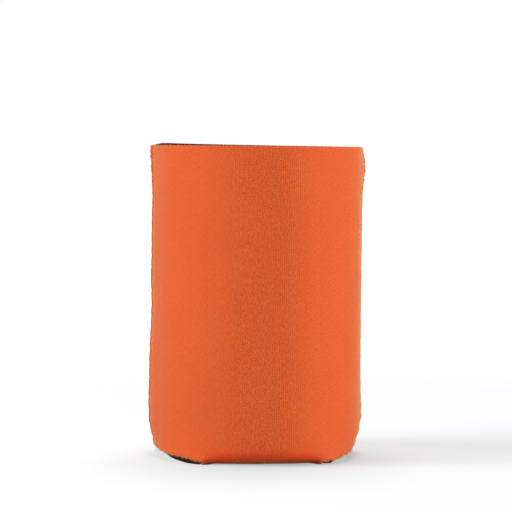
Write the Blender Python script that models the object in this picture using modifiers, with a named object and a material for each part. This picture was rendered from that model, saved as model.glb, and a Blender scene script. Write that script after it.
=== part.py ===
# Can cooler sleeve: one die-cut foam sheet, folded under its base and sewn up at both sides with overlock thread.
# The front faces -Y, the left seam is at -X, and the sleeve stands on z = 0 with its axis on Z.

import math

import bpy

# Sizes in metres
pocket_radius = 0.0331
sheet_thickness = 0.0024
height = 0.105
back_rim_rise = 0.0010
base_strip_width = 0.040
fold_radius = 0.0033
notch_fillet = 0.006
notch_low = 0.0014
seam_foot = 0.004
corner_start = 0.015
corner_trim = 0.0006
flare = 0.0024
flare_height = 0.011
seam_sheet_thickness = 0.0013
seam_taper = 0.004
seam_bend = 0.0009
fin_reach = 0.0007
panel_gap = 0.0003
thread_thickness = 0.0005
thread_clearance = 0.0003
stitch_pitch = 0.0041
seam_end_gap = 0.0005

# How finely the surfaces are divided
columns_round = 10
columns_taper = 4
columns_bend = 3
rows_wall = 8
rows_corner = 5
rows_notch = 6
rows_fillet = 6
rows_base = 3
rows_per_stitch = 3

# Worked out from the sizes: the middle of the sheet in plan, from the front's centre line to the seam's edge
middle_radius = pocket_radius + sheet_thickness / 2
outer_radius = pocket_radius + sheet_thickness
fin_middle = (panel_gap + seam_sheet_thickness) / 2
bend_offset = fin_middle + seam_bend
fin_start = math.sqrt((middle_radius + seam_bend) ** 2 - bend_offset**2)
fin_edge = outer_radius + fin_reach
round_angle = math.pi / 2 - math.asin(bend_offset / (middle_radius + seam_bend))
round_length = middle_radius * round_angle
bend_length = seam_bend * round_angle
panel_half_width = round_length + bend_length + fin_edge - fin_start

# The sheet's length coordinate v is its height on the wall, and goes on round the fold and under the base
fold_top = sheet_thickness / 2 + fold_radius
fold_end = fold_top - fold_radius * math.pi / 2
base_middle = fold_end - (middle_radius - fold_radius)


def smooth(t):
    t = min(max(t, 0.0), 1.0)
    return t * t * (3 - 2 * t)


def wall_plan(a, z):
    """Plan place of the sheet's middle, a along the front from its centre line and z up: an arc round the pocket, a
    reverse bend, and a straight fin. Near the floor it is drawn in at the centre and the seams and flares between."""
    side = math.copysign(1, a)
    a = abs(a)
    if a <= round_length:
        x = middle_radius * math.sin(a / middle_radius)
        y = -middle_radius * math.cos(a / middle_radius)
    elif a <= round_length + bend_length:
        heading = round_angle - (a - round_length) / seam_bend
        x = fin_start - seam_bend * math.sin(heading)
        y = -bend_offset + seam_bend * math.cos(heading)
    else:
        x = fin_start + a - round_length - bend_length
        y = -fin_middle
    near_floor = max(0.0, 1 - z / flare_height) ** 3
    push = -flare * near_floor * math.cos(4 * min(a / middle_radius, math.pi / 2))
    grow = 1 + push / math.hypot(x, y)
    return side * x * grow, y * grow


def sheet_point(a, v):
    """Place of a point of the front half. The middle turns under at the fold, and the free corners stay upright."""
    folded = smooth((base_strip_width / 2 + notch_fillet - abs(a)) / (notch_fillet * 0.8))
    turn = min(max((fold_top - v) / fold_radius, 0.0), math.pi / 2)
    z_fold = fold_top - fold_radius * math.sin(turn) if v < fold_top else v
    z = max(folded * z_fold + (1 - folded) * v, sheet_thickness / 2)
    x, y = wall_plan(a, z)
    y += folded * fold_radius * (1 - math.cos(turn))
    if v < fold_end:
        y *= (v - base_middle) / (fold_end - base_middle)
    return x, y, z


def outline_rows():
    """Half width and length coordinate of each row of the front half, from the rim to the middle of the base: the
    straight side, the trimmed corner, the sloping notch edge, its fillet and the base strip."""
    strip = base_strip_width / 2
    foot_width = panel_half_width - corner_trim
    fillet_middle = strip + notch_fillet
    slope = math.atan2(seam_foot - notch_low, foot_width - fillet_middle)
    rows = [(panel_half_width, height + (corner_start - height) * i / rows_wall) for i in range(rows_wall)]
    for i in range(rows_corner):
        t = i / rows_corner
        rows.append((panel_half_width - corner_trim * t * t, corner_start + (seam_foot - corner_start) * t))
    slope_end = (fillet_middle - notch_fillet * math.sin(slope), notch_low - notch_fillet * (1 - math.cos(slope)))
    for i in range(rows_notch):
        t = i / rows_notch
        rows.append((foot_width + (slope_end[0] - foot_width) * t, seam_foot + (slope_end[1] - seam_foot) * t))
    for i in range(rows_fillet + 1):
        turn = slope + (math.pi / 2 - slope) * i / rows_fillet
        rows.append((fillet_middle - notch_fillet * math.sin(turn),
                     notch_low - notch_fillet * (1 - math.cos(turn))))
    last = rows[-1][1]
    rows += [(strip, last + (base_middle - last) * i / rows_base) for i in range(1, rows_base + 1)]
    return rows


def column_shares():
    """Places of the grid's columns as shares of the half width, close together at the seam's taper and bend."""
    taper_start = round_length - seam_taper
    places = [taper_start * i / columns_round for i in range(columns_round)]
    places += [taper_start + seam_taper * i / columns_taper for i in range(columns_taper)]
    places += [round_length + bend_length * i / columns_bend for i in range(columns_bend + 1)]
    places.append(panel_half_width)
    half = [place / panel_half_width for place in places]
    return [-share for share in reversed(half[1:])] + half


def grid_faces(rows, columns):
    return [(r * columns + c, r * columns + c + 1, (r + 1) * columns + c + 1, (r + 1) * columns + c)
            for r in range(rows - 1) for c in range(columns - 1)]


def add_object(name, points, faces, weights, material, collection):
    """One mesh object with the weights of its vertex group, which thin the wall."""
    mesh = bpy.data.meshes.new(name)
    mesh.from_pydata(points, [], faces)
    mesh.materials.append(material)
    mesh.shade_smooth()
    thing = bpy.data.objects.new(name, mesh)
    collection.objects.link(thing)
    group = thing.vertex_groups.new(name="wall")
    for i, weight in enumerate(weights):
        group.add([i], weight, "REPLACE")
    return thing


def add_wall(thing, thickness, thin_share, offset):
    wall = thing.modifiers.new("Wall", "SOLIDIFY")
    wall.thickness = thickness
    wall.offset = offset
    wall.vertex_group = "wall"
    wall.thickness_vertex_group = thin_share


def add_body(material, collection):
    shares = column_shares()
    points = []
    weights = []
    front = outline_rows()
    rows = [(w, v, -1) for w, v in front] + [(w, v, 1) for w, v in reversed(front[:-1])]
    for half_width, v, facing in rows:
        for share in shares:
            a = share * half_width
            x, y, z = sheet_point(a, v)
            if facing > 0:
                across = (a + panel_half_width) / (2 * panel_half_width)
                z += back_rim_rise * smooth(across / 0.15) * (1 - across) * max(v, 0.0) / height
            points.append((x, -facing * y, z))
            weights.append(smooth((round_length - abs(a)) / seam_taper))
    body = add_object("sleeve_body", points, grid_faces(len(rows), len(shares)), weights, material, collection)
    add_wall(body, sheet_thickness, seam_sheet_thickness / sheet_thickness, 0.0)


def fin_at(z):
    """How far out the fin's root and the sheet's edge are at a height, with the lower corner trimmed."""
    t = min(max((corner_start - z) / (corner_start - seam_foot), 0.0), 1.0)
    drawn_in = wall_plan(panel_half_width, z)[0] / fin_edge
    root = (middle_radius + seam_sheet_thickness / 2) * drawn_in
    return root, wall_plan(panel_half_width - corner_trim * t * t, z)[0]


def add_seam(name, side, material, collection):
    """Overlock thread round the two sheet edges: a channel that is thicker at each stitch."""
    low = seam_foot + seam_end_gap
    high = height - seam_end_gap
    stitches = round((high - low) / stitch_pitch)
    rows = stitches * rows_per_stitch + 1
    leg = fin_middle + seam_sheet_thickness / 2 + thread_clearance
    points = []
    weights = []
    for r in range(rows):
        z = low + (high - low) * r / (rows - 1)
        root, edge = (x + thread_clearance for x in fin_at(z))
        profile = [(root, -leg), (edge - leg * 0.15, -leg), (edge, -leg * 0.8)]
        profile += [(x, -y) for x, y in reversed(profile)]
        points += [(side * x, y, z) for x, y in profile]
        weights += [abs(math.cos(math.pi * r / rows_per_stitch))] * len(profile)
    seam = add_object(name, points, grid_faces(rows, 6), weights, material, collection)
    add_wall(seam, thread_thickness, 0.6, side)


def make_material(name, colour, roughness):
    material = bpy.data.materials.new(name)
    material.use_nodes = True
    shader = material.node_tree.nodes["Principled BSDF"]
    shader.inputs["Base Color"].default_value = (*colour, 1)
    shader.inputs["Roughness"].default_value = roughness
    shader.inputs["Metallic"].default_value = 0.0
    return material


def main():
    for thing in list(bpy.data.objects):
        bpy.data.objects.remove(thing, do_unlink=True)
    sleeve = bpy.data.collections.new("can_cooler_sleeve")
    bpy.context.scene.collection.children.link(sleeve)
    jersey = make_material("orange_jersey_foam", (0.74, 0.12, 0.03), 0.9)
    thread = make_material("orange_thread", (0.78, 0.15, 0.04), 0.8)
    add_body(jersey, sleeve)
    add_seam("left_side_seam", -1, thread, sleeve)
    add_seam("right_side_seam", 1, thread, sleeve)


main()
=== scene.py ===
import math

import bpy
import numpy as np
from mathutils import Matrix, Vector


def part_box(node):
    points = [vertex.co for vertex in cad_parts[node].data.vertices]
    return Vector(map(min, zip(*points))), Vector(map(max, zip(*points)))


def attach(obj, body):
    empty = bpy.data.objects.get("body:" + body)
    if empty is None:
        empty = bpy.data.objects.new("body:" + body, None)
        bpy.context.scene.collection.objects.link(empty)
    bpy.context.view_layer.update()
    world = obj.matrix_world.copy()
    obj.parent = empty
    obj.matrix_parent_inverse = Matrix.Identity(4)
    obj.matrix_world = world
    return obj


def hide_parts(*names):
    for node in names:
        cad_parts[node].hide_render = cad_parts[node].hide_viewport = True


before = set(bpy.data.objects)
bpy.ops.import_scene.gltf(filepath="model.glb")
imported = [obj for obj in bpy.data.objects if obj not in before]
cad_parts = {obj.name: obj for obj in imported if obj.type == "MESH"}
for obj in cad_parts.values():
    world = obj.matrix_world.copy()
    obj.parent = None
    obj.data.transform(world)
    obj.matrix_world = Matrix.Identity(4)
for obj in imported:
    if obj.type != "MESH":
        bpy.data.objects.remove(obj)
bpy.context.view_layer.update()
mm = 0.001  # shapes are worked out in millimetres
random = np.random.default_rng(7)

# The foam sheet. Its flat outline is in (a, v): a runs across it from the front's centre line, v is the height on the
# wall and goes on round the fold and under the base. Left is -X, the front faces -Y.
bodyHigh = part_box("sleeve_body")[1]
seamLow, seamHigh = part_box("right_side_seam")
sleeve = {
    "outerRadius": bodyHigh.y / mm,
    "sheetEdge": bodyHigh.x / mm,      # where the sewn edge of the sheet ends
    "thickness": 2.4,
    "jersey": 0.4,
    "rim": 105.0,
    "backRimRise": 1.0,
    "rimRiseShare": 0.15,  # the share of the width over which the back's rim rises from the left seam
    "stripWidth": 37.0,
    "foldRadius": 3.3,
    "foldEnds": (1.2, 7.0),  # how far past the fillets the fold ends, and over how much it grows from there
    "filletRadius": 2.6,
    "notchLow": 0.65,
    "notchLeaves": 2.0,    # over how much of a corner its raw edge leaves the level of the strip's fillets
    "cornerLow": 0.55,     # the lowest that the middle of the sheet comes in a free corner
    "cutWave": 0.22,       # how unevenly the right-hand corner is cut, and the length of one wave
    "cutWaveLength": 4.6,
    "cutLeanSpread": 2.5,  # how fast the lean of the cut face dies out up the wall, and where it stops under the base
    "cutLeanStops": -6.0,
    "seamThickness": 1.3,
    "seamThins": (6.5, 5.5),  # how far from the sewn edge the sheet begins to thin, and over how much
    "seamBend": 0.9,
    "seamPull": 4.5,       # how far inside the round wall the sewn edge begins to pull
    "panelGap": 0.02,
    "seamLap": 0.2,        # how far a taut sheet would pass the seam's plane, where it is cut off
    "tautCrown": 0.25,     # how much a taut sheet still bulges
    "flareHeight": 14.0,
    "foldFlare": 8.0,
    "flareGrows": (8.0, 12.0),  # where from the middle the flare begins to reach higher, and over how much
    "ripple": (0.07, 13.0, 2.1),  # a soft unevenness of the wall: depth, millimetres a radian, waves by the angle
}
# How far the wall is pushed out at the floor, by the angle in degrees from the middle of the front, on each side
floorPush = {
    "angle": [0, 10, 20, 30, 40, 52, 62, 75, 90],
    "left": [-1.9, -1.4, 0.3, 2.5, 3.8, 2.5, 1.8, 0.2, -0.8],
    "right": [-1.9, -1.4, 0.0, 0.8, 1.5, -0.2, -1.3, -1.6, -1.6],
    "terms": 7,            # cosines that carry the tables round the wall
    "blend": 16.0,         # over how much of the width one side's push turns into the other's
    "rightTuck": 3.2,      # further in at the right-hand corner, down a straight slope
    "tuckHeight": 9.5,
    "tuckGrows": (1.05, 0.35),  # the angle in radians where the tuck begins, and over how much it grows
}
# The two sewn edges by height: how far out the sheet ends, how far it leans to the back, how flat it is pressed, and
# how far a loop of thread draws it in
leftEdge = {
    "height": [3, 6.4, 11, 18, 26, 33, 39, 46, 53, 60, 68, 80, 88, 92, 99, 105],
    "reach": [34.9, 35.4, 36.3, 36.6, 36.4, 36.4, 36.2, 35.9, 35.8, 36.1, 35.9, 35.9, 35.8, 36.1, 36.7, 37.2],
    "lean": [0.0, 0.2, 0.4, 0.4, 0.4, 0.4, 0.4, 0.4, 0.4, 0.4, 0.4, 0.4, 0.3, 0.2, 0.0, 0.0],
    "pressed": [0.0, 0.0, 0.0, 0.0, 0.0, 0.0, 0.0, 0.0, 0.0, 0.0, 0.0, 0.0, 0.05, 0.2, 0.5, 0.6],
    "scallop": [0.3, 0.3, 0.25, 0.2, 0.2, 0.2, 0.2, 0.2, 0.2, 0.2, 0.2, 0.2, 0.2, 0.2, 0.2, 0.2],
}
rightEdge = {
    "height": [3, 5.3, 7, 8.4, 11, 14, 18, 22, 30, 80, 86, 90, 95, 98, 102, 105],
    "reach": [31.6, 31.9, 32.4, 33.6, 35.0, 35.4, 35.3, 35.1, 34.9, 34.9, 35.0, 35.3, 36.1, 36.4, 35.8, 34.9],
    "lean": [0.0, 0.0, 0.0, 0.0, 0.0, 0.0, 0.4, 0.9, 1.4, 1.4, 1.1, 0.6, 0.2, 0.0, 0.0, 0.0],
    "pressed": [0.0, 0.0, 0.0, 0.0, 0.0, 0.0, 0.0, 0.0, 0.0, 0.0, 0.1, 0.3, 0.5, 0.5, 0.4, 0.3],
    "scallop": [0.9, 0.9, 0.9, 0.9, 0.6, 0.3, 0.12, 0.1, 0.1, 0.1, 0.12, 0.15, 0.15, 0.15, 0.15, 0.15],
}
# How far the middle of the raw lower edge of a corner has risen, by the share of its way from the strip to the seam,
# and by how much the cut face leans, so that it shows under the jersey
leftNotch = {
    "share": [0, 0.1, 0.22, 0.35, 0.48, 0.60, 0.73, 0.86, 1.0],
    "rise": [0.1, 0.45, 0.8, 0.95, 1.1, 1.95, 2.6, 3.0, 3.5],
    "lean": [0.2, 0.6, 0.65, 0.65, 0.5, 0.2, 0.0, 0.0, 0.0],
}
rightNotch = {
    "share": [0, 0.1, 0.22, 0.35, 0.48, 0.60, 0.73, 0.86, 1.0],
    "rise": [0.0, 0.1, 0.65, 1.45, 2.0, 2.5, 2.8, 3.2, 3.6],
    "lean": [0.3, 0.5, 0.4, 0.15, 0.0, 0.0, 0.0, 0.0, 0.0],
}
stitching = {
    "pitch": 4.1,
    "waves": ((0.16, 0.31), (0.07, 0.83)),  # unevenness of the pitch: depth in stitches, radians a millimetre
    "lowest": seamLow.z / mm,
    "highest": seamHigh.z / mm,
    "rootInset": 2.3,      # how far in from the sewn edge the needle goes through
    "pinch": 0.22,         # how deep a loop sinks into the sewn edge
    "pinchGrows": (3.2, 1.6),  # how far from the sewn edge the pinch begins, and over how much it grows
}

# Worked out from these: the middle of the sheet in plan, as an arc, a reverse bend and a straight fin at the seam,
# and the heights v where the fold begins and ends and where the front meets the back
middleRadius = sleeve["outerRadius"] - sleeve["thickness"] / 2
finMiddle = (sleeve["panelGap"] + sleeve["seamThickness"]) / 2
bendOffset = finMiddle + sleeve["seamBend"]
finStart = math.sqrt((middleRadius + sleeve["seamBend"]) ** 2 - bendOffset ** 2)
roundAngle = math.pi / 2 - math.asin(bendOffset / (middleRadius + sleeve["seamBend"]))
roundLength = middleRadius * roundAngle
bendLength = sleeve["seamBend"] * roundAngle
halfWidth = roundLength + bendLength + sleeve["sheetEdge"] - finStart
foldTop = sleeve["thickness"] / 2 + sleeve["foldRadius"]
foldEnd = foldTop - sleeve["foldRadius"] * math.pi / 2
baseMiddle = foldEnd - (middleRadius - sleeve["foldRadius"])
wingStart = sleeve["stripWidth"] / 2 + sleeve["filletRadius"]
tautStart = middleRadius * math.pi / 2 - middleRadius * math.acos(middleRadius / sleeve["sheetEdge"])


# Eases from 0 to 1 as 3t squared less 2t cubed
def ease(t):
    t = np.clip(t, 0.0, 1.0)
    return t * t * (3 - 2 * t)


# cos(2 k angle) for each term k of a sum
def evenCosines(angle):
    return np.cos(angle[..., None] * 2 * np.arange(floorPush["terms"]))


# The weights of the sum that comes nearest to a side's table, by least squares
def cosineFit(side):
    return np.linalg.lstsq(evenCosines(np.radians(floorPush["angle"])), np.array(floorPush[side]), rcond=None)[0]


pushTerms = np.stack([cosineFit("left"), cosineFit("right")])


# The plan of the tube where it is pressed flat at the seam: an arc round the pocket, a reverse bend and a straight
# fin. Where it is taut instead, it leaves the arc on a tangent that runs to the sewn edge, with half a sine as crown.
def wallPlan(a, pressed):
    s = np.abs(a)
    heading = roundAngle - (s - roundLength) / sleeve["seamBend"]
    places = [s <= roundLength, s <= roundLength + bendLength]
    x = np.select(places, [middleRadius * np.sin(s / middleRadius), finStart - sleeve["seamBend"] * np.sin(heading)],
                  finStart + s - roundLength - bendLength)
    y = np.select(places, [-middleRadius * np.cos(s / middleRadius),
                           -bendOffset + sleeve["seamBend"] * np.cos(heading)], -finMiddle)
    free = np.clip((s - tautStart) / (halfWidth - tautStart), 0, 1)
    leave = tautStart / middleRadius
    tautX = np.where(free > 0, middleRadius * math.sin(leave) * (1 - free) + sleeve["sheetEdge"] * free, x)
    tautY = np.where(free > 0, -middleRadius * math.cos(leave) * (1 - free) + sleeve["seamLap"] * free, y)
    crown = sleeve["tautCrown"] * np.sin(np.pi * free)
    tautX, tautY = tautX + crown * math.sin(leave), tautY - crown * math.cos(leave)
    return np.sign(a) * (tautX + (x - tautX) * pressed), tautY + (y - tautY) * pressed


# A column of the sewn edges' tables at height z, straight between its points: the left edge's where x is below 0
def sideTable(x, z, column):
    left = np.interp(z, leftEdge["height"], leftEdge[column])
    right = np.interp(z, rightEdge["height"], rightEdge[column])
    return np.where(x < 0, left, right)


# Wears the tube in. The radius gains the floor push times (1 - z / flare) cubed, less the tuck, plus a soft ripple.
# Then each stitch draws the sewn edge in by the eased nearness to it, and reach and lean move it by that squared.
def wornIn(x, y, z, facing):
    radius = np.hypot(x, y)
    angle = np.arctan2(np.abs(x), np.abs(y))
    left, right = np.moveaxis(evenCosines(angle) @ pushTerms.T, -1, 0)
    push = left + (right - left) * ease(x / floorPush["blend"] + 0.5)
    start, over = sleeve["flareGrows"]
    flare = sleeve["foldFlare"] + (sleeve["flareHeight"] - sleeve["foldFlare"]) * ease((np.abs(x) - start) / over)
    push = push * np.clip(1 - z / flare, 0, 1) ** 3
    start, over = floorPush["tuckGrows"]
    tuck = floorPush["rightTuck"] * np.clip(1 - z / floorPush["tuckHeight"], 0, 1)
    push = push - tuck * ease((angle - start) / over) * (x > 0)
    depth, run, waves = sleeve["ripple"]
    push = push + depth * np.sin(z / run + waves * angle * np.sign(x) + facing) * np.cos(angle) ** 2
    x, y = x * (1 + push / radius), y * (1 + push / radius)
    width = sleeve["sheetEdge"] - sleeve["outerRadius"] + sleeve["seamPull"]
    near = ease((np.abs(x) - sleeve["outerRadius"] + sleeve["seamPull"]) / width)
    lean = sideTable(x, z, "lean")
    drawn = sideTable(x, z, "scallop") * (stitchHold(x, z) - 0.5)
    x = x + np.sign(x) * ((sideTable(x, z, "reach") - sleeve["sheetEdge"]) * near ** 2 - drawn * near)
    return x, y - facing * lean * near ** 2


# Which stitch a height belongs to: an even count with two slow waves in it, so that no two stitches are quite alike
def stitchCount(z, side):
    even = (z - stitching["lowest"]) / stitching["pitch"]
    (slowDepth, slow), (quickDepth, quick) = stitching["waves"]
    return even + slowDepth * np.sin(slow * z + side) + quickDepth * np.sin(quick * z + 2 * side)


# How tightly the thread holds the sewn edge there, as the sine of half a turn a stitch to the power 1.5: 1 at a
# loop's tip, 0 between two loops
def stitchHold(x, z):
    count = np.where(x < 0, stitchCount(z, -1), stitchCount(z, 1))
    return np.abs(np.sin(np.pi * count)) ** 1.5


# Middle of the sheet at (a, v). The strip turns under through the fold's quarter circle and runs flat to the middle
# of the base, and the free corners beside it stay upright. The back is the front mirrored, its rim a little higher.
def sheetPoint(a, v, facing):
    past, over = sleeve["foldEnds"]
    folded = ease((wingStart + past - np.abs(a)) / over)
    turn = np.clip((foldTop - v) / sleeve["foldRadius"], 0, math.pi / 2)
    zFold = np.where(v < foldTop, foldTop - sleeve["foldRadius"] * np.sin(turn), v)
    lowest = folded * sleeve["thickness"] / 2 + (1 - folded) * sleeve["cornerLow"]
    z = np.maximum(folded * zFold + (1 - folded) * v, lowest)
    x, y = wornIn(*wallPlan(a, sideTable(a, z, "pressed")), z, facing)
    y = y + folded * sleeve["foldRadius"] * (1 - np.cos(turn))
    y = np.where(v < foldEnd, y * (v - baseMiddle) / (foldEnd - baseMiddle), y)
    across = (a + halfWidth) / (2 * halfWidth)
    rise = sleeve["backRimRise"] * ease(across / sleeve["rimRiseShare"]) * (1 - across)
    rise = rise * np.maximum(v, 0) / sleeve["rim"]
    return np.stack([x, -facing * y, z + np.where(facing > 0, rise, 0.0)], axis=-1)


# Outward normal from the cross product of two short central differences
def sheetNormal(a, v, facing):
    step = 0.05
    alongA = sheetPoint(a + step, v, facing) - sheetPoint(a - step, v, facing)
    alongV = sheetPoint(a, v + step, facing) - sheetPoint(a, v - step, facing)
    normal = np.cross(alongA, alongV) * -facing[..., None]
    return normal / np.maximum(np.linalg.norm(normal, axis=-1, keepdims=True), 1e-9)


# The raw lower edge of the corners: the height of each corner's own table, with a sine wave on the right-hand one
def notchEdge(a):
    along = np.abs(a) - wingStart
    wave = np.where(a > 0, sleeve["cutWave"], 0.0) * np.sin(along * 2 * math.pi / sleeve["cutWaveLength"])
    return sleeve["notchLow"] + (notchTable(a, "rise") + wave) * ease(along / sleeve["notchLeaves"])


# A column of the corners' tables at a, straight between its points
def notchTable(a, column):
    share = np.clip((np.abs(a) - wingStart) / (halfWidth - wingStart), 0, 1)
    left = np.interp(share, leftNotch["share"], leftNotch[column])
    return np.where(a < 0, left, np.interp(share, rightNotch["share"], rightNotch[column]))


# By how much the cut face leans near the raw lower edge: a bell curve of the distance from it
def cutLean(a, v):
    bell = np.exp(-((v - notchEdge(a)) / sleeve["cutLeanSpread"]) ** 2)
    return notchTable(a, "lean") * bell * (v > sleeve["cutLeanStops"])


grid = {
    "spacing": 1.0,
    "cornerSpacing": 0.95,
    "cutSteps": [0.0, 0.12, 0.3, 0.6, 1.0],    # the first places at a cut edge and at a corner's two edges
    "cornerSteps": [0.0, 0.2, 0.45, 0.75, 1.1],
    "fineWidth": 8.0,      # twice the columns this near to the sewn edge
    "fineShare": 0.86,     # twice the rows past this share of the wall's height, from the rim down
    "filletRows": 11,
    "stripRows": 26,
}


# Even places from 0 to length, with the given steps first and, mirrored, last
def spacedFromEdges(length, step, edgeSteps):
    inner = np.linspace(edgeSteps[-1], length - edgeSteps[-1], max(2, round((length - 2 * edgeSteps[-1]) / step)))
    return np.concatenate([edgeSteps[:-1], inner, length - np.array(edgeSteps[-2::-1])])


# (a, v, facing, distance to the nearest cut edge, kept cells) of the whole sheet, as one grid of rows and columns.
# Wall rows go evenly from the rim to the raw edge. Below them only the strip's columns go on, drawn in along the
# fillet's quarter circle.
def sheetGrid():
    strip = spacedFromEdges(2 * wingStart, grid["spacing"], grid["cutSteps"]) - wingStart
    wing = wingStart + spacedFromEdges(halfWidth - wingStart, grid["cornerSpacing"], grid["cornerSteps"])[1:]
    fine = wing > halfWidth - grid["fineWidth"]
    wing = np.sort(np.concatenate([wing, (wing[fine][1:] + wing[fine][:-1]) / 2]))
    columns = np.concatenate([-wing[::-1], strip, wing])
    wall = spacedFromEdges(sleeve["rim"], grid["spacing"], grid["cutSteps"]) / sleeve["rim"]
    low = wall > grid["fineShare"]
    wall = np.sort(np.concatenate([wall, (wall[low][1:-4] + wall[low][:-5]) / 2]))
    rim = np.full(len(columns), sleeve["rim"])
    v = rim + (notchEdge(columns) - rim) * wall[:, None]
    a = np.broadcast_to(columns, v.shape)
    edge = np.minimum(rim - v, np.where(np.abs(columns) < wingStart, rim, v - notchEdge(columns)))
    turn = np.linspace(math.pi / 2, math.pi, grid["filletRows"] + 1)[1:]
    fillet = sleeve["filletRadius"]
    straight = np.full(grid["stripRows"], sleeve["stripWidth"] / 2)
    stripHalf = np.concatenate([wingStart + fillet * np.cos(turn), straight])
    stripV = sleeve["notchLow"] - fillet + fillet * np.sin(turn)
    stripV = np.concatenate([stripV, np.linspace(stripV[-1], baseMiddle, grid["stripRows"] + 1)[1:]])
    share = np.clip(columns / wingStart, -1, 1)
    a = np.concatenate([a, stripHalf[:, None] * share])
    v = np.concatenate([v, np.broadcast_to(stripV[:, None], (len(stripV), len(columns)))])
    edge = np.concatenate([edge, stripHalf[:, None] * (1 - np.abs(share))])
    edge = np.minimum(edge, np.where(np.arange(len(a))[:, None] < len(wall), halfWidth - np.abs(a), edge))
    facing = np.full(a.shape, -1.0)
    a, v, edge = (np.concatenate([part, part[-2::-1]]) for part in (a, v, edge))
    facing = np.concatenate([facing, -facing[-2::-1]])
    onStrip = np.abs((columns[1:] + columns[:-1]) / 2) < wingStart
    row = np.arange(len(a) - 1)
    onWall = (row < len(wall) - 1) | (row > len(a) - 1 - len(wall))
    return a, v, facing, edge, onWall[:, None] | onStrip


# Two copies of the grid, each point plus its normal times its offset in millimetres, joined along every open edge
def closedShell(points, normals, outer, inner, keep):
    rows, columns = outer.shape
    index = np.arange(rows * columns).reshape(rows, columns)
    quads = np.stack([index[:-1, :-1], index[1:, :-1], index[1:, 1:], index[:-1, 1:]], axis=-1)[keep]
    count = rows * columns
    start, end = quads.ravel(), np.roll(quads, -1, axis=1).ravel()
    alone = ~np.isin(start * count + end, end * count + start)
    start, end = start[alone], end[alone]
    sides = np.stack([end, start, start + count, end + count], axis=-1)
    both = np.concatenate([points + normals * outer[..., None], points + normals * inner[..., None]])
    faces = np.concatenate([quads, quads[:, ::-1] + count, sides])
    return both.reshape(-1, 3), faces


# A closed tube along each path: a ring of even points at radius round every place on it, square to it, and a strip of
# quads over both ends. The rings are turned alike by a direction across the path.
def tubes(paths, radii, across, sides):
    paths = np.asarray(paths, float)
    along = np.gradient(paths, axis=1)
    along /= np.linalg.norm(along, axis=-1, keepdims=True)
    first = np.cross(along, np.broadcast_to(across, along.shape))
    first /= np.linalg.norm(first, axis=-1, keepdims=True)
    second = np.cross(along, first)
    turn = np.arange(sides) / sides * 2 * np.pi
    radii = np.broadcast_to(np.asarray(radii, float), paths.shape[:2] + (sides,))[..., None]
    ring = first[:, :, None] * np.cos(turn)[:, None] + second[:, :, None] * np.sin(turn)[:, None]
    points = paths[:, :, None] + ring * radii
    many, steps = paths.shape[:2]
    index = np.arange(many * steps * sides).reshape(many, steps, sides)
    nextSide = np.roll(index, -1, axis=2)
    walls = np.stack([index[:, :-1], nextSide[:, :-1], nextSide[:, 1:], index[:, 1:]], axis=-1).reshape(-1, 4)
    k = np.arange(sides // 2 - 1)
    cap = np.stack([k, k + 1, sides - 2 - k, sides - 1 - k], axis=-1)
    ends = np.concatenate([index[:, 0][:, cap[:, ::-1]].reshape(-1, 4), index[:, -1][:, cap].reshape(-1, 4)])
    return points.reshape(-1, 3), np.concatenate([walls, ends])


# Puts points and quads into a mesh, with the flat pattern in millimetres as its UV map where there is one, attaches
# it to the root body and hides the nodes of the solid that the piece replaces
def addPiece(name, points, faces, finish, slot, nodes, plan=None):
    used, faces = np.unique(faces, return_inverse=True)
    faces = faces.reshape(-1, 4)
    points = points[used]
    mesh = bpy.data.meshes.new(name)
    mesh.vertices.add(len(points))
    mesh.vertices.foreach_set("co", (points * mm).ravel())
    mesh.loops.add(faces.size)
    mesh.loops.foreach_set("vertex_index", faces.ravel())
    mesh.polygons.add(len(faces))
    mesh.polygons.foreach_set("loop_start", np.arange(0, faces.size, 4))
    mesh.update(calc_edges=True)
    if plan is not None:
        layer = mesh.uv_layers.new(name="flatPattern")
        layer.uv.foreach_set("vector", plan[used][faces.ravel()].ravel())
    mesh.validate()
    mesh.shade_smooth()
    mesh.set_sharp_from_angle(angle=math.radians(50))
    mesh.materials.append(finish)
    piece = bpy.data.objects.new(name, mesh)
    bpy.context.scene.collection.objects.link(piece)
    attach(piece, "root")
    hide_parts(*nodes)
    print(name, len(faces), "faces")
    return piece


# A value socket that takes part in sums: each operator adds its Math node
class Value:
    def __init__(self, nodes, socket):
        self.nodes, self.socket = nodes, socket

    def math(self, operation, *others, first=None):
        values = [self.socket, *others] if first is None else [first, self.socket]
        values = [other.socket if isinstance(other, Value) else other for other in values]
        made = self.nodes.add("ShaderNodeMath", {"operation": operation}, dict(enumerate(values)))
        return Value(self.nodes, made.outputs[0])

    def __add__(self, other):
        return self.math("ADD", other)

    def __sub__(self, other):
        return self.math("SUBTRACT", other)

    def __rsub__(self, other):
        return self.math("SUBTRACT", first=other)

    def __mul__(self, other):
        return self.math("MULTIPLY", other)

    def __truediv__(self, other):
        return self.math("DIVIDE", other)

    def __pow__(self, other):
        return self.math("POWER", other)

    __radd__, __rmul__ = __add__, __mul__

    def __abs__(self):
        return self.math("ABSOLUTE")

    def sine(self):
        return self.math("SINE")

    def cosine(self):
        return self.math("COSINE")

    def part(self):
        return self.math("FRACT")

    def clamped(self):
        return self.math("MINIMUM", 1.0).math("MAXIMUM", 0.0)


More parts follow.
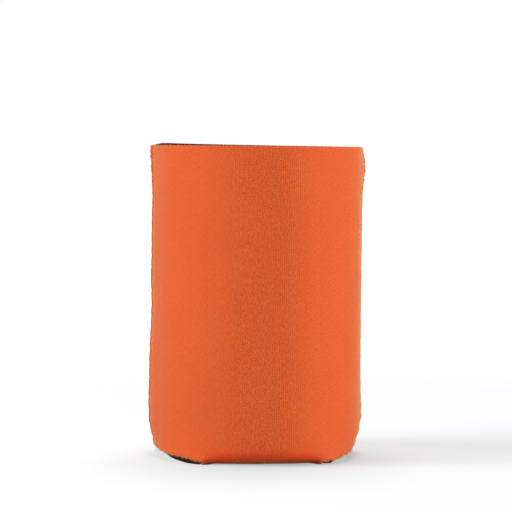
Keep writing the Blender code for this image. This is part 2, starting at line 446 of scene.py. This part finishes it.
# The nodes of a material or of the world, and the ways to add to them
class Nodes:
    def __init__(self, tree):
        self.tree = tree

    # A node of the type: settings first, then its sockets' values or links
    def add(self, kind, settings=None, sockets=None):
        node = self.tree.nodes.new(kind)
        for name, value in (settings or {}).items():
            setattr(node, name, value)
        for name, value in (sockets or {}).items():
            self.feed(node.inputs[name], value)
        return node

    def feed(self, target, value):
        value = value.socket if isinstance(value, Value) else value
        if isinstance(value, bpy.types.NodeSocket):
            self.tree.links.new(value, target)
        else:
            target.default_value = value

    def value(self, node, output=0):
        return Value(self, node.outputs[output])

    def noise(self, where, scale, detail=2.0):
        return self.value(self.add("ShaderNodeTexNoise", {}, {"Vector": where, "Scale": scale, "Detail": detail}))

    def blendColours(self, factor, one, two):
        mix = self.add("ShaderNodeMix", {"data_type": "RGBA"}, {"Factor": factor})
        self.feed(mix.inputs[6], one)
        self.feed(mix.inputs[7], two)
        return mix.outputs[2]


# A material with its Principled shader: constants on the shader's own sockets, and a relief of the height in metres
class Finish(Nodes):
    def __init__(self, name, constants):
        self.material = bpy.data.materials.new(name)
        self.material.use_nodes = True
        super().__init__(self.material.node_tree)
        self.shader = self.tree.nodes["Principled BSDF"]
        for socket, value in constants.items():
            self.shader.inputs[socket].default_value = value

    def relief(self, height, distance):
        bump = self.add("ShaderNodeBump", {}, {"Height": height, "Distance": distance})
        self.feed(self.shader.inputs["Normal"], bump.outputs[0])


# Plain knit: legs in pairs that lean to each other and form Vs, in columns of one wale and rows of one course, with
# short broken dashes down the columns where the yarn is fuller. On the flanks, where the jersey is drawn round the
# tube, the legs line up into slanting ribs that fall away from the middle of the front, in relief and as a painted
# highlight that stands in for the side lamps catching one leg of each stitch. The fold is darkened and reddened by
# painted shade, with a painted contact shadow where it meets the floor.
knit = {
    "wale": 1.43,
    "course": 0.865,
    "wobble": (0.35, 0.25, 0.3),  # unevenness of the rows and columns: its scale, and millimetres across and along
    "slant": (0.70, 0.45),    # courses that a rib falls in a millimetre, on the left and on the right
    "ribDepth": 0.35,
    "ribsFrom": (8.0, 10.0),  # distance from the middle where ribs begin, and over how much they grow
    "ribsTo": (38.0, 8.0),
    "stretched": (34.0, 10.0, 0.65),  # where the legs begin to be stretched flat, over how much, and by what share
    "loose": 2.2,
    "dash": (2.4, 0.7, 1.0),
    "patch": 0.06,
    "relief": 0.15,
    "reliefShares": {"stitch": 0.6, "ribLeg": 0.15, "loose": 0.2, "dash": 0.4},
    "toneShares": {"even": 0.31, "dash": 1.1, "ribDash": 0.5, "leg": 0.12, "stitch": 0.08, "rib": 0.22,
                   "patch": 0.25},
    "deep": (0.62, 0.072, 0.015, 1),
    "raised": (0.81, 0.138, 0.032, 1),
    # colours of the painted shade along the fold and of the painted contact shadow where the fold meets the floor
    "foldShadeColour": (0.84, 0.052, 0.013, 1),
    "contactShadowColour": (0.19, 0.018, 0.009, 1),
    "floorContactHeight": 0.3,         # the height in the fold that meets the floor, where the painted shade and contact shadow are darkest
    "foldShadeUp": (7.7, 7.0),     # how far the painted fold shade and contact shadow reach from it up the wall, and over how much the fold shade fades
    "foldShadeAcross": (21.0, 6.0),    # how far they reach from the middle of the front, and over how much they fade
    "contactShadowUp": 1.6,
    "contactShadowAcross": (20.0, 1.5),
    "sheen": 0.9,
    "sheenTint": (1.0, 0.80, 0.42, 1),
    "sheenRoughness": 0.30,
}


# The relief is the legs' sine, raised and lowered by each stitch's cosine. The colour runs from deep to raised by the
# same waves, which is painted shade in the valleys between legs, by the dashes and patches as random tone, and by the
# ribs as a painted highlight. Over that go painted shade along the fold and a painted contact shadow at the floor.
def jerseyFinish():
    finish = Finish("orangeJersey", {
        "Roughness": 0.85, "Specular IOR Level": 0.15, "Sheen Weight": knit["sheen"],
        "Sheen Roughness": knit["sheenRoughness"], "Sheen Tint": knit["sheenTint"]})
    flat = finish.add("ShaderNodeUVMap", {"uv_map": "flatPattern"})
    parts = finish.add("ShaderNodeSeparateXYZ", {}, {0: flat.outputs[0]})
    across, along = finish.value(parts, 0), finish.value(parts, 1)
    scale, wobbleAcross, wobbleAlong = knit["wobble"]
    wobble = finish.noise(flat.outputs[0], scale) - 0.5
    across = across + wobble * wobbleAcross
    along = along + wobble * wobbleAlong
    leg = abs((across * (2 * math.pi / knit["wale"])).sine()) ** 0.7
    lean = abs((across / knit["wale"]).part() - 0.5) * 2
    stitch = ((along / knit["course"] + lean) * (2 * math.pi)).cosine() * 0.5 + 0.5
    loose = finish.noise(flat.outputs[0], knit["loose"], 3.0)
    stretched = finish.add("ShaderNodeVectorMath", {"operation": "MULTIPLY"}, {0: flat.outputs[0], 1: knit["dash"]})
    dash = finish.noise(stretched.outputs[0], 1.0, 1.0)
    leftSlant, rightSlant = knit["slant"]
    fall = abs(across) * ((rightSlant + leftSlant) / 2) + across * ((rightSlant - leftSlant) / 2)
    rib = ((along / knit["course"] + fall) * (2 * math.pi)).cosine() * 0.5 + 0.5
    (begin, grow), (end, fade) = knit["ribsFrom"], knit["ribsTo"]
    flank = ((abs(across) - begin) / grow).clamped() * ((end - abs(across)) / fade + 1).clamped()
    begin, grow, most = knit["stretched"]
    nearSeam = ((abs(across) - begin) / grow).clamped()
    relief, tone = knit["reliefShares"], knit["toneShares"]
    legs = leg * (stitch * relief["stitch"] + (1 - relief["stitch"])) * (1 - nearSeam * most)
    surface = legs + (rib * knit["ribDepth"] + leg * relief["ribLeg"] - legs) * flank
    surface = surface + loose * relief["loose"] + dash * relief["dash"]
    # The legs and stitches lighten the raised yarn and darken the valleys between it: painted shade. The dashes and
    # patches are random tone.
    shade = (dash - 0.5) * (tone["dash"] - flank * tone["ribDash"]) + (leg * tone["leg"] + stitch * tone["stitch"])
    # Painted highlight: the ribs lighten the colour on the flanks, standing in for the side lamps catching one leg of
    # each stitch; the ribs are also in the relief
    shade = shade + (rib - 0.5) * flank * tone["rib"]
    shade = shade + finish.noise(flat.outputs[0], knit["patch"]) * tone["patch"] + tone["even"]
    height = abs(along - baseMiddle) + baseMiddle      # the same on both faces, and 0 at the bottom of the fold
    # Painted shade along the fold and a painted contact shadow where it meets the floor, fading up the wall and
    # towards the corners
    fromContact = abs(height - knit["floorContactHeight"])
    (reach, fade), (width, sideFade) = knit["foldShadeUp"], knit["foldShadeAcross"]
    foldShade = ((reach - fromContact) / fade).clamped() ** 1.5 * ((width - abs(across)) / sideFade).clamped()
    width, sideFade = knit["contactShadowAcross"]
    contactShadow = (1 - fromContact / knit["contactShadowUp"]).clamped() * ((width - abs(across)) / sideFade).clamped()
    # The fold's painted shade goes over the knit's colour, then the painted contact shadow over that
    colour = finish.blendColours(foldShade, finish.blendColours(shade, knit["deep"], knit["raised"]), knit["foldShadeColour"])
    colour = finish.blendColours(contactShadow, colour, knit["contactShadowColour"])
    finish.feed(finish.shader.inputs["Base Color"], colour)
    finish.relief(surface, knit["relief"] * mm)
    return finish.material


foamLook = {
    "pores": 2600,         # in a metre
    "cloud": 400,
    "poreShare": 0.8,
    "cloudShare": 0.3,
    "deep": (0.020, 0.0050, 0.0025, 1),
    "raised": (0.095, 0.021, 0.009, 1),
    "relief": 0.12,
}


# Small round pores, darker at their middles as painted shade in their hollows, under a soft cloud
def foamFinish():
    finish = Finish("blackFoam", {"Roughness": 0.95, "Specular IOR Level": 0.1})
    where = finish.add("ShaderNodeTexCoord").outputs["Object"]
    sockets = {"Vector": where, "Scale": foamLook["pores"]}
    pore = finish.value(finish.add("ShaderNodeTexVoronoi", {"feature": "SMOOTH_F1"}, sockets))
    # The pores' darker middles are painted shade in their hollows; the cloud is random tone
    shade = pore * foamLook["poreShare"] + finish.noise(where, foamLook["cloud"], 3.0) * foamLook["cloudShare"]
    colour = finish.blendColours(shade, foamLook["deep"], foamLook["raised"])
    finish.feed(finish.shader.inputs["Base Color"], colour)
    finish.relief(pore, foamLook["relief"] * mm)
    return finish.material


edges = {
    "cutRound": (0.22, 0.28),  # how much a cut edge is rounded off, and over how much
    "cutRoundInside": 0.5,     # the share of it on the inside
    "sewnRound": (0.35, 0.7),
    "leastFoam": 0.25,
    "layerGap": 0.02,      # between jersey and foam
    "floorGap": 0.02,
    "seamOverlap": 0.02,   # how far front and back pass each other's cut at the seam
    "seamWidth": 4.0,      # how far from the sewn edge they are cut at its plane
    "insideHeight": -100.0,    # the inside is even: all of it has the pinch that this height gives
}


# How far the jersey's outside lies from the middle of the sheet: half its thickness, which is eased down at the seam,
# less the pinch of the loops
def outsideOffset(a, z):
    start, over = sleeve["seamThins"]
    nearSeam = ease((np.abs(a) - halfWidth + start) / over)
    half = (sleeve["thickness"] + (sleeve["seamThickness"] - sleeve["thickness"]) * nearSeam) / 2
    start, over = stitching["pinchGrows"]
    return half - stitching["pinch"] * stitchHold(a, z) * ease((np.abs(a) - halfWidth + start) / over)


# How much an edge is rounded off: a bell curve of the distance from a cut edge, and an eased step at a sewn one
def edgeRounding(a, v, edge):
    (cutDepth, cutWidth), (sewnDepth, sewnWidth) = edges["cutRound"], edges["sewnRound"]
    sewn = sewnDepth * ease(1 - (halfWidth - np.abs(a)) / sewnWidth) * (v > 0)
    return cutDepth * np.exp(-(edge / cutWidth) ** 2), sewn


# The flat area of the kept cells, each as its mean width times its mean height, in square metres
def areaOf(a, v, keep):
    width = np.abs((a[1:, 1:] + a[:-1, 1:]) - (a[1:, :-1] + a[:-1, :-1])) / 2
    height = np.abs((v[1:, 1:] + v[1:, :-1]) - (v[:-1, 1:] + v[:-1, :-1])) / 2
    return (width * height)[keep].sum() * mm * mm


# The whole sheet as two closed shells, the jersey outside and the foam inside it, each between two offsets along the
# sheet's normal. Front and back are cut off at the seam's plane.
def makeSheet():
    a, v, facing, edge, keep = sheetGrid()
    points = sheetPoint(a, v, facing)
    normals = sheetNormal(a, v, facing)
    inside = outsideOffset(a, np.full(a.shape, edges["insideHeight"]))
    cutRound, sewnRound = edgeRounding(a, v, edge)
    outer = outsideOffset(a, points[..., 2]) - cutRound - sewnRound
    under = np.maximum(outer - sleeve["jersey"], -inside + edges["leastFoam"])
    plan = np.stack([a, np.where(facing > 0, 2 * baseMiddle - v, v)], axis=-1).reshape(-1, 2)
    lean = cutLean(a, v)
    halves = np.tile(facing.ravel(), 2)
    atSeam = np.tile(np.abs(a).ravel() > halfWidth - edges["seamWidth"], 2)
    shells = []
    for top, bottom in ((outer, under), (under - edges["layerGap"], cutRound * edges["cutRoundInside"] - inside)):
        corners, faces = closedShell(points, normals, top, bottom, keep)
        corners[:, 2] += np.concatenate([(top * lean).ravel(), (bottom * lean).ravel()])
        corners[:, 2] = np.maximum(corners[:, 2], edges["floorGap"])
        seamPlane = sideTable(corners[:, 0], corners[:, 2], "lean")
        behind = np.maximum((corners[:, 1] - seamPlane) * halves, -edges["seamOverlap"])
        corners[:, 1] = np.where(atSeam, seamPlane + behind * halves, corners[:, 1])
        shells.append((corners, faces))
    return shells, np.concatenate([plan, plan]), areaOf(a, v, keep)


(jerseyShell, foamShell), flatPlan, flatArea = makeSheet()
jersey = addPiece("jerseyFace", *jerseyShell, jerseyFinish(), "jersey_foam", ["sleeve_body"], flatPlan)
foam = addPiece("foamCore", *foamShell, foamFinish(), "jersey_foam", ["sleeve_body"], flatPlan)

thread = {
    "radius": 0.19,
    "sides": 8,
    "stitchSteps": 28,
    "heightSteps": 2000,   # for reading heights back from the count of stitches
    "clearOfEnds": (0.2, 0.5),
    "loopRise": 0.35,      # how high a loop rides on the jersey at the needle's holes, in radii
    "tipSinks": 0.2,       # how much less at its tip, in millimetres
    "tipOut": 0.3,         # how far the tip stands out past the sewn edge, in radii
    "tipSpan": 0.2,        # over what length the way outward is measured
    "twist": 0.55,         # the plies' turn in radians a step, and how much they stand out
    "plyDepth": 0.13,
    "needleSteps": 9,
    "needleSpan": (0.04, 0.92),   # where the needle's thread starts after a hole and how long it is, in stitches
    "needleRise": (1.3, 0.9),     # how high it stands between two holes and how deep it dips into them, in radii
    "strands": 3500,       # in a metre
    "deep": (0.74, 0.120, 0.026, 1),
    "raised": (0.90, 0.180, 0.045, 1),
    "relief": 0.04,
}


# Fine strands, from deep to raised by one noise
def threadFinish():
    finish = Finish("orangeThread", {"Roughness": 0.7, "Specular IOR Level": 0.3, "Sheen Weight": knit["sheen"],
                                     "Sheen Roughness": knit["sheenRoughness"], "Sheen Tint": knit["sheenTint"]})
    strand = finish.noise(finish.add("ShaderNodeTexCoord").outputs["Object"], thread["strands"])
    finish.feed(finish.shader.inputs["Base Color"], finish.blendColours(strand, thread["deep"], thread["raised"]))
    finish.relief(strand, thread["relief"] * mm)
    return finish.material


# Overlock thread. On each face a looper's thread runs out from the needle's holes to the edge and back, as a row of
# Vs whose tips meet the other face's. It lies on the jersey, a quarter ellipse round the sheet's edge in plan. The
# needle's own thread runs straight from hole to hole and dips into each.
def seamThreads(side):
    both = (-1.0, 1.0)
    endGap, lastGap = thread["clearOfEnds"]
    lastCount = math.floor(stitchCount(stitching["highest"] - lastGap, side))
    count = np.arange(0, lastCount + 1e-6, 1 / thread["stitchSteps"])
    heights = np.linspace(stitching["lowest"] + endGap, stitching["highest"] - endGap, thread["heightSteps"])
    z = np.interp(count, stitchCount(heights, side), heights)
    swing = np.abs((count + 0.5) % 1 - 0.5) * 2       # 0 at a needle's hole, 1 at a tip
    wrap = swing * math.pi / 2
    a = side * (halfWidth - stitching["rootInset"] * (1 - np.sin(wrap)))
    pressed = sideTable(a, z, "pressed")
    lift = outsideOffset(a, z) + thread["radius"] * thread["loopRise"] - thread["tipSinks"] * swing ** 2
    lift = lift * (pressed * np.cos(wrap) ** 0.6 + 1 - pressed)
    out = thread["radius"] * thread["tipOut"] * np.sin(wrap) ** 4
    paths = []
    for facing in (np.full(len(z), half) for half in both):
        middle = sheetPoint(a, z, facing)
        along = middle - sheetPoint(a - side * thread["tipSpan"], z, facing)
        along /= np.linalg.norm(along, axis=-1, keepdims=True)
        paths.append(middle + sheetNormal(a, z, facing) * lift[:, None] + along * out[:, None])
    middle = (paths[0] + paths[1]) / 2
    paths = [path + (middle - path) * (swing ** 4)[:, None] for path in paths]
    twist = np.arange(len(z)) * thread["twist"]
    around = np.arange(thread["sides"]) / thread["sides"] * 2 * np.pi
    ply = 1 + thread["plyDepth"] * np.cos(2 * (around - twist[:, None]))
    points, faces = tubes(paths, thread["radius"] * ply, (0, 0, 1), thread["sides"])
    share = np.linspace(0, 1, thread["needleSteps"])
    start, span = thread["needleSpan"]
    count = np.arange(int(count[-1]))[:, None] + start + span * share
    z = np.interp(count, stitchCount(heights, side), heights)
    a = np.full(z.shape, side * (halfWidth - stitching["rootInset"]))
    high, dip = thread["needleRise"]
    rise = outsideOffset(a, z) + thread["radius"] * (high * np.sin(share * np.pi) ** 0.5 - dip)
    straight = np.concatenate([sheetPoint(a, z, facing) + sheetNormal(a, z, facing) * rise[..., None]
                               for facing in (np.full(z.shape, half) for half in both)])
    needle, needleFaces = tubes(straight, thread["radius"], (side, 0, 0), thread["sides"])
    return np.concatenate([points, needle]), np.concatenate([faces, needleFaces + len(points)])


orange = threadFinish()
seams = []
for side, name, node in ((-1, "leftSeamThread", "left_side_seam"), (1, "rightSeamThread", "right_side_seam")):
    seams.append(addPiece(name, *seamThreads(side), orange, "seam_thread", [node]))

fringe = {
    "perMillimetre": 2.6,
    "filletCount": 20,
    "clearOfSeam": 1.5,
    "scatter": 0.15,
    "depth": 0.25,         # they start between one and two times this far from the jersey's outside
    "leanShare": 0.95,     # how much of the cut face's lean they follow
    "length": (0.45, 1.0),
    "rimShare": 0.3,       # those at the rim are shorter
    "rooted": 0.35,        # the share of a fibre that stays in the edge
    "lift": (0.15, 0.35),  # the bend away from the sheet and along its edge: mean and spread, in lengths
    "swing": (0.0, 0.5),
    "steps": 4,
    "radius": 0.055,
    "radiusSpread": (0.7, 1.3),
    "taper": 0.45,
    "lowest": 0.08,
    "deep": (0.80, 0.24, 0.10, 1),
    "raised": (0.92, 0.50, 0.30, 1),
}


# Pale broken yarn, a little different from fibre to fibre
def fibreFinish():
    finish = Finish("cutYarn", {"Roughness": 0.8, "Sheen Weight": 0.4})
    tone = finish.noise(finish.add("ShaderNodeTexCoord").outputs["Object"], 900, 1.0)
    finish.feed(finish.shader.inputs["Base Color"], finish.blendColours(tone, fringe["deep"], fringe["raised"]))
    return finish.material


# Cut yarn ends along the raw edges of the jersey: short tapered tubes that leave the edge in the sheet's own plane
# and bend away by the square of the way along them, each with its own length, lift and swing
def fringeFibres():
    end = halfWidth - fringe["clearOfSeam"]
    wings = np.linspace(wingStart, end, int(fringe["perMillimetre"] * (halfWidth - wingStart)))
    rims = np.linspace(-end, end, int(fringe["perMillimetre"] * 2 * halfWidth))
    turn = np.linspace(math.pi / 2, math.pi, fringe["filletCount"])
    filletA = wingStart + sleeve["filletRadius"] * np.cos(turn)
    filletV = sleeve["notchLow"] - sleeve["filletRadius"] * (1 - np.sin(turn))
    parts = ((rims, np.full(len(rims), sleeve["rim"]), 0 * rims, 1 + 0 * rims),
             (wings, notchEdge(wings), 0 * wings, -1 + 0 * wings),
             (-wings, notchEdge(-wings), 0 * wings, -1 + 0 * wings),
             (filletA, filletV, -np.cos(turn), -np.sin(turn)),
             (-filletA, filletV, np.cos(turn), -np.sin(turn)))
    edgeA, edgeV, outA, outV = (np.tile(np.concatenate(values), 2) for values in zip(*parts))
    many = len(edgeA)
    facing = np.repeat([-1.0, 1.0], many // 2)
    edgeA = edgeA + random.normal(0, fringe["scatter"], many)
    points = sheetPoint(edgeA, edgeV, facing)
    normals = sheetNormal(edgeA, edgeV, facing)
    outward = sheetPoint(edgeA + 0.1 * outA, edgeV + 0.1 * outV, facing) - points
    outward /= np.linalg.norm(outward, axis=-1, keepdims=True) + 1e-9
    sideways = np.cross(outward, normals)
    depth = sleeve["thickness"] / 2 - fringe["depth"] - random.uniform(0, fringe["depth"], many)
    lengths = random.uniform(*fringe["length"], many) * np.where(edgeV > sleeve["rim"] - 1, fringe["rimShare"], 1)
    lift, swing = random.normal(*fringe["lift"], many), random.normal(*fringe["swing"], many)
    t = np.linspace(0, 1, fringe["steps"])
    reach = (t - fringe["rooted"])[None, :, None] * lengths[:, None, None]
    bend = (t ** 2)[None, :, None] * lengths[:, None, None]
    points = points + normals * depth[:, None]
    points[:, 2] += fringe["leanShare"] * depth * cutLean(edgeA, edgeV)
    paths = points[:, None] + outward[:, None] * reach
    paths = paths + normals[:, None] * bend * lift[:, None, None] + sideways[:, None] * bend * swing[:, None, None]
    paths[..., 2] = np.maximum(paths[..., 2], fringe["lowest"])
    radii = fringe["radius"] * (1 - fringe["taper"] * t)[None, :, None]
    radii = radii * random.uniform(*fringe["radiusSpread"], many)[:, None, None]
    return tubes(paths, radii, (0.31, 0.52, 0.79), 4)     # no fibre runs the way that turns the rings


fibres = addPiece("edgeFibres", *fringeFibres(), fibreFinish(), "jersey_foam", ["sleeve_body"])

flatSize = (2 * halfWidth * mm, 2 * (sleeve["rim"] - baseMiddle) * mm)
print("flat size", flatSize, "area", flatArea)


# The studio: a pale floor that adds light of its own only for the camera, a white world and six round lamps
studio = {
    "floorSize": 40.0,
    "floorColour": (0.325, 0.345, 0.350, 1),
    "nearGlow": 0.42,      # what the floor adds for the camera by the object, and how it grows to 1 further out
    "glowStart": 0.25,
    "glowWidth": 0.6,
    "ambient": 0.24,
    "lamps": [
        {"name": "leftBox", "place": (-1.1, -0.12, 0.50), "aim": (0, 0, 0.05), "size": 0.45, "power": 9.5},
        {"name": "rightBox", "place": (1.05, -0.24, 0.60), "aim": (0, 0, 0.05), "size": 1.0, "power": 12.1,
         "lights": "sleeve"},
        {"name": "frontBox", "place": (0.1, -1.3, 0.45), "aim": (0, 0, 0.05), "size": 1.2, "power": 8.1},
        {"name": "backBox", "place": (0.2, 1.2, 0.7), "aim": (0, 0, 0.05), "size": 1.2, "power": 9.0,
         "lights": "sleeve"},
        {"name": "floorKey", "place": (-1.05, -0.22, 0.50), "aim": (0, 0, 0.05), "size": 1.0, "power": 13.5,
         "lights": "floor"},
        {"name": "floorTop", "place": (0.1, 0.45, 1.4), "aim": (0, 0, 0), "size": 1.0, "power": 20.0,
         "lights": "floor"},
    ],
}


def makeStudio():
    s = studio["floorSize"] / 2
    mesh = bpy.data.meshes.new("floor")
    mesh.from_pydata([(-s, -s, 0), (s, -s, 0), (s, s, 0), (-s, s, 0)], [], [(0, 1, 2, 3)])
    floor = bpy.data.objects.new("floor", mesh)
    bpy.context.scene.collection.objects.link(floor)
    finish = Finish("paleFloor", {"Base Color": studio["floorColour"], "Roughness": 1.0, "Specular IOR Level": 0.0,
                                  "Emission Strength": 1.0})
    seen = finish.value(finish.add("ShaderNodeLightPath"), "Is Camera Ray")
    where = finish.add("ShaderNodeTexCoord").outputs["Object"]
    far = finish.value(finish.add("ShaderNodeVectorMath", {"operation": "LENGTH"}, {0: where}), "Value")
    share = ((far - studio["glowStart"]) / studio["glowWidth"]).clamped()
    glow = seen * (share * (1 - studio["nearGlow"]) + studio["nearGlow"])
    finish.feed(finish.shader.inputs["Emission Color"], finish.blendColours(glow, (0, 0, 0, 1), (1, 1, 1, 1)))
    mesh.materials.append(finish.material)
    world = bpy.data.worlds.new("studio")
    world.use_nodes = True
    bpy.context.scene.world = world
    sky = Nodes(world.node_tree)
    seen = sky.value(sky.add("ShaderNodeLightPath"), "Is Camera Ray")
    background = sky.tree.nodes["Background"]
    background.inputs["Color"].default_value = (1, 1, 1, 1)
    sky.feed(background.inputs["Strength"], seen * (1 - studio["ambient"]) + studio["ambient"])
    lit = {name: bpy.data.collections.new(name + "Lamps") for name in ("sleeve", "floor")}
    lit["floor"].objects.link(floor)
    for piece in (jersey, foam, fibres, *seams):
        lit["sleeve"].objects.link(piece)
    for lamp in studio["lamps"]:
        light = bpy.data.lights.new(lamp["name"], "AREA")
        light.shape, light.size, light.energy = "DISK", lamp["size"], lamp["power"]
        thing = bpy.data.objects.new(lamp["name"], light)
        thing.location = lamp["place"]
        away = Vector(lamp["place"]) - Vector(lamp["aim"])
        thing.rotation_euler = away.to_track_quat("Z", "Y").to_euler()
        if "lights" in lamp:
            thing.light_linking.receiver_collection = lit[lamp["lights"]]
        bpy.context.scene.collection.objects.link(thing)


makeStudio()
print("studio", len(studio["lamps"]), "lamps")

# The camera stands a little to the left of the front, level with the rim, and looks slightly down
view = {"distance": 0.800, "height": 0.1025, "aroundDegrees": 4.4, "downDegrees": 2.5, "rollDegrees": 0.54,
        "aimLeftPixels": 2.2, "focalPixels": 2346.0, "imagePixels": 512}


def makeCamera():
    around = math.radians(view["aroundDegrees"])
    camera = bpy.data.cameras.new("camera")
    camera.sensor_width = 36.0
    camera.lens = view["focalPixels"] * camera.sensor_width / view["imagePixels"]
    thing = bpy.data.objects.new("camera", camera)
    turn = Matrix.Rotation(-around + view["aimLeftPixels"] / view["focalPixels"], 4, "Z")
    turn = turn @ Matrix.Rotation(math.radians(90 - view["downDegrees"]), 4, "X")
    turn = turn @ Matrix.Rotation(math.radians(view["rollDegrees"]), 4, "Z")
    place = (-view["distance"] * math.sin(around), -view["distance"] * math.cos(around), view["height"])
    thing.matrix_world = Matrix.Translation(place) @ turn
    bpy.context.scene.collection.objects.link(thing)
    bpy.context.scene.camera = thing


makeCamera()
bpy.context.scene.view_settings.view_transform = "Standard"
print("camera", view["distance"], "m away")
